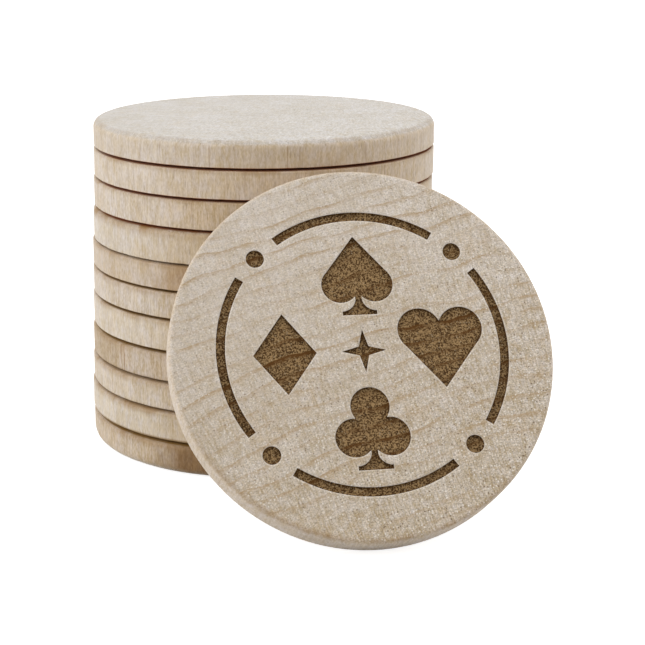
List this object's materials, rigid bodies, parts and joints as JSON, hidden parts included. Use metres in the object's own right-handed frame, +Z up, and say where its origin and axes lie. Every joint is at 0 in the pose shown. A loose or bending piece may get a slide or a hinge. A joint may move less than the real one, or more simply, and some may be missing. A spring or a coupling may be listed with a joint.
{
  "type": "wooden game tokens",
  "caption": "Round wooden game tokens in a straight stack, with an engraved token leaning on the front; loose pieces for counting, trading or marking in table games.",
  "frame": {"origin": "middle of the bottom token's underside, on the table", "axes": "+Z up along the stack, -Y towards the front, where the engraved token leans, +X to its right"},
  "size_m": [0.0442, 0.0615, 0.0364],
  "materials": {
    "pale_wood": "fine-sanded bare wood, light beige, matt",
    "cream_wood": "fine-sanded bare wood, pale cream, matt",
    "tan_wood": "fine-sanded bare wood, warm tan, matt",
    "engraved_wood": "fine-sanded bare wood with a laser-burnt brown design, matt"
  },
  "bodies": {
    "token_01": {"token_01": "tan_wood"},
    "token_02": {"token_02": "cream_wood"},
    "token_03": {"token_03": "pale_wood"},
    "token_04": {"token_04": "tan_wood"},
    "token_05": {"token_05": "cream_wood"},
    "token_06": {"token_06": "pale_wood"},
    "token_07": {"token_07": "tan_wood"},
    "token_08": {"token_08": "cream_wood"},
    "token_09": {"token_09": "pale_wood"},
    "token_10": {"token_10": "pale_wood"},
    "token_11": {"token_11": "pale_wood"},
    "engraved_token": {"engraved_token": "engraved_wood"}
  },
  "joints": [
    {"name": "lift_token_02", "type": "slide", "parent": "token_01", "child": "token_02", "axis": [0, 0, 1], "range_m": [0, 0.02]},
    {"name": "lift_token_03", "type": "slide", "parent": "token_02", "child": "token_03", "axis": [0, 0, 1], "range_m": [0, 0.02]},
    {"name": "lift_token_04", "type": "slide", "parent": "token_03", "child": "token_04", "axis": [0, 0, 1], "range_m": [0, 0.02]},
    {"name": "lift_token_05", "type": "slide", "parent": "token_04", "child": "token_05", "axis": [0, 0, 1], "range_m": [0, 0.02]},
    {"name": "lift_token_06", "type": "slide", "parent": "token_05", "child": "token_06", "axis": [0, 0, 1], "range_m": [0, 0.02]},
    {"name": "lift_token_07", "type": "slide", "parent": "token_06", "child": "token_07", "axis": [0, 0, 1], "range_m": [0, 0.02]},
    {"name": "lift_token_08", "type": "slide", "parent": "token_07", "child": "token_08", "axis": [0, 0, 1], "range_m": [0, 0.02]},
    {"name": "lift_token_09", "type": "slide", "parent": "token_08", "child": "token_09", "axis": [0, 0, 1], "range_m": [0, 0.02]},
    {"name": "lift_token_10", "type": "slide", "parent": "token_09", "child": "token_10", "axis": [0, 0, 1], "range_m": [0, 0.02]},
    {"name": "lift_token_11", "type": "slide", "parent": "token_10", "child": "token_11", "axis": [0, 0, 1], "range_m": [0, 0.02]},
    {"name": "tip_engraved_token", "type": "hinge", "parent": "token_01", "child": "engraved_token", "pos_m": [0.006, -0.03989, 0.0002], "axis": [1, 0, 0], "range_deg": [0, 33]}
  ]
}
